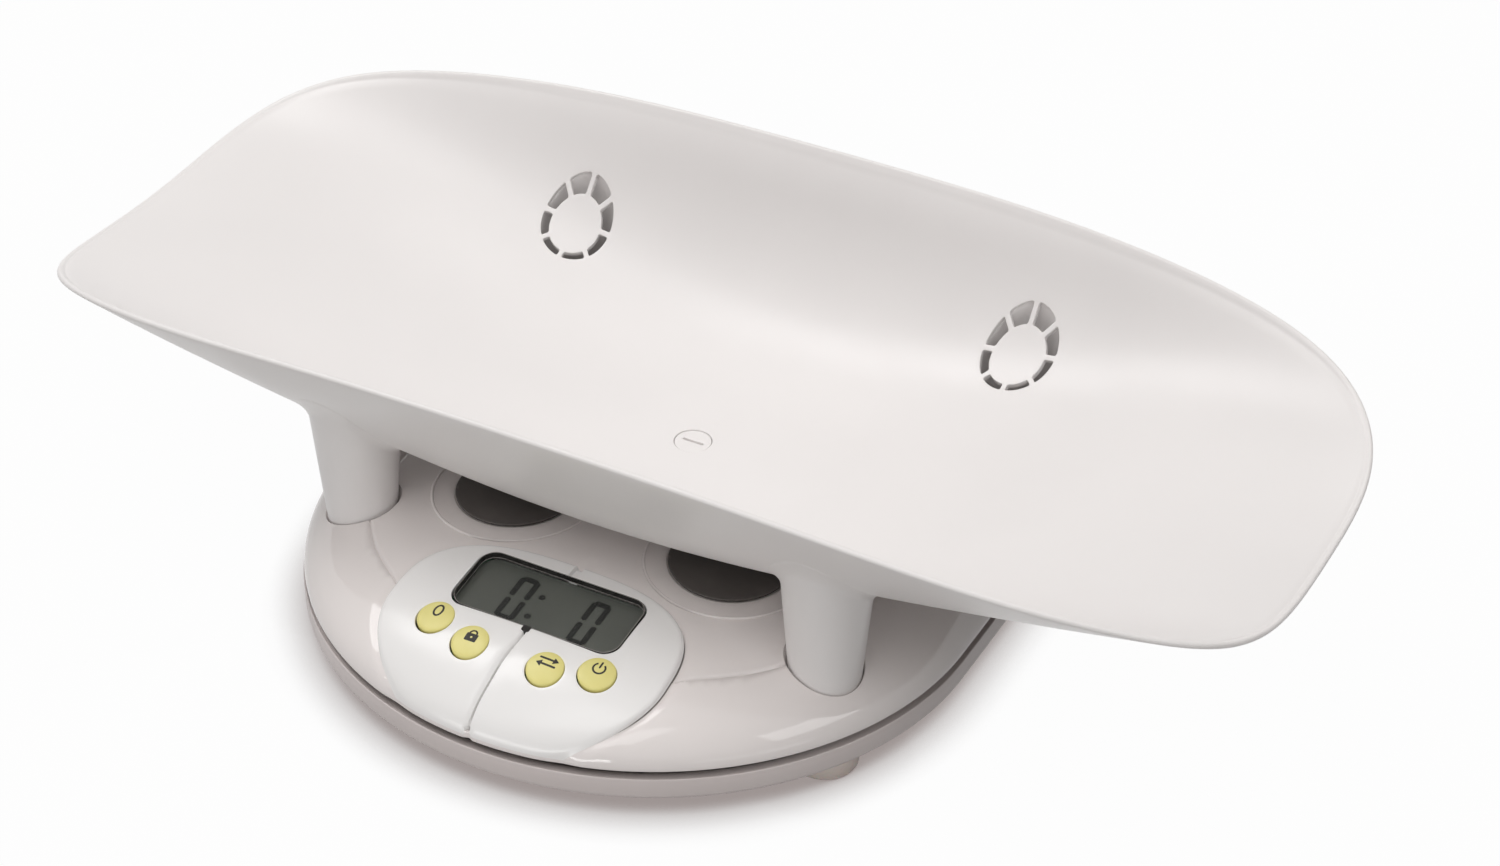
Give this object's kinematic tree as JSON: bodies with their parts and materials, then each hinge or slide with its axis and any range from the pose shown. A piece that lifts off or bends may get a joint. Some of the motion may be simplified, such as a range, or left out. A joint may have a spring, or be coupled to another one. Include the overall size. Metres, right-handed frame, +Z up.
{
  "type": "digital baby weighing scale",
  "caption": "Digital baby weighing scale with a lift-off cradle tray on four legs over a rounded weighing platform with a display and push keys.",
  "frame": {"origin": "on the floor, under the middle of the whole", "axes": "+Z is up, X is the long way of the tray, -Y is the side with the display"},
  "size_m": [0.585, 0.3544, 0.1407],
  "materials": {
    "shell_white": "satin moulded plastic, warm white",
    "cover_white": "satin moulded plastic, warm white",
    "panel_white": "glossy moulded plastic, white",
    "pad_rubber": "matt dark rubber",
    "key_yellow": "pale yellow key caps with printed legends",
    "bezel_black": "glossy black plastic",
    "window_clear": "clear acrylic window",
    "glass_grey": "grey green liquid crystal glass",
    "board_green": "green solder mask",
    "switch_black": "black moulded plastic",
    "plunger_black": "black moulded plastic",
    "beam_metal": "machined aluminium",
    "frame_steel": "pressed steel sheet",
    "spacer_steel": "cut steel plate",
    "screw_steel": "zinc plated steel",
    "insert_brass": "turned brass",
    "lower_white": "satin moulded plastic, warm white",
    "door_white": "satin moulded plastic, warm white",
    "foot_rubber": "pale translucent rubber",
    "battery_wrap": "dark printed battery jacket",
    "snap_black": "black plastic with snap studs",
    "lead_grey": "grey cable jacket",
    "lead_black": "black cable jacket"
  },
  "bodies": {
    "base": {"lower_housing": "lower_white", "foot_left_front": "foot_rubber", "foot_left_rear": "foot_rubber", "foot_right_front": "foot_rubber", "foot_right_rear": "foot_rubber", "lower_spacer": "spacer_steel", "load_cell": "beam_metal", "cell_screw_lower_inner": "screw_steel", "cell_screw_lower_outer": "screw_steel", "battery": "battery_wrap", "battery_snap": "snap_black", "battery_lead": "lead_black"},
    "platform": {"top_cover": "cover_white", "standing_pad_left": "pad_rubber", "standing_pad_right": "pad_rubber", "control_panel": "panel_white", "display_bezel": "bezel_black", "display_window": "window_clear", "display_module": "glass_grey", "control_board": "board_green", "board_screw_left": "screw_steel", "board_screw_right": "screw_steel", "zero_switch": "switch_black", "hold_switch": "switch_black", "unit_switch": "switch_black", "power_switch": "switch_black", "screw_insert": "insert_brass", "weighing_frame": "frame_steel", "frame_screw_left_front": "screw_steel", "frame_screw_left_rear": "screw_steel", "frame_screw_right_front": "screw_steel", "frame_screw_right_rear": "screw_steel", "upper_spacer": "spacer_steel", "cell_screw_upper_inner": "screw_steel", "cell_screw_upper_outer": "screw_steel", "cell_lead": "lead_grey"},
    "tray": {"tray": "shell_white"},
    "tray_screw": {"tray_screw": "shell_white"},
    "battery_door": {"battery_door": "door_white"},
    "zero_key": {"zero_button": "key_yellow", "zero_plunger": "plunger_black"},
    "hold_key": {"hold_button": "key_yellow", "hold_plunger": "plunger_black"},
    "unit_key": {"unit_button": "key_yellow", "unit_plunger": "plunger_black"},
    "power_key": {"power_button": "key_yellow", "power_plunger": "plunger_black"}
  },
  "joints": [
    {"name": "platform_press", "type": "slide", "parent": "base", "child": "platform", "axis": [0, 0, -1], "range_m": [0, 0.00025], "stiffness_N_per_m": 800000},
    {"name": "tray_lift", "type": "slide", "parent": "platform", "child": "tray", "axis": [0, 0, 1], "range_m": [0, 0.12]},
    {"name": "tray_screw_turn", "type": "hinge", "parent": "tray", "child": "tray_screw", "pos_m": [0, 0.01224, 0.056], "axis": [0, 0, 1], "continuous": true},
    {"name": "battery_door_hinge", "type": "hinge", "parent": "base", "child": "battery_door", "pos_m": [0.0035, 0.12264, 0.008], "axis": [1, 0, 0], "range_deg": [0, 60]},
    {"name": "zero_press", "type": "slide", "parent": "platform", "child": "zero_key", "axis": [0, 0.1392, -0.9903], "range_m": [0, 0.0006], "stiffness_N_per_m": 2500},
    {"name": "hold_press", "type": "slide", "parent": "platform", "child": "hold_key", "axis": [0, 0.1392, -0.9903], "range_m": [0, 0.0006], "stiffness_N_per_m": 2500},
    {"name": "unit_press", "type": "slide", "parent": "platform", "child": "unit_key", "axis": [0, 0.1392, -0.9903], "range_m": [0, 0.0006], "stiffness_N_per_m": 2500},
    {"name": "power_press", "type": "slide", "parent": "platform", "child": "power_key", "axis": [0, 0.1392, -0.9903], "range_m": [0, 0.0006], "stiffness_N_per_m": 2500}
  ]
}
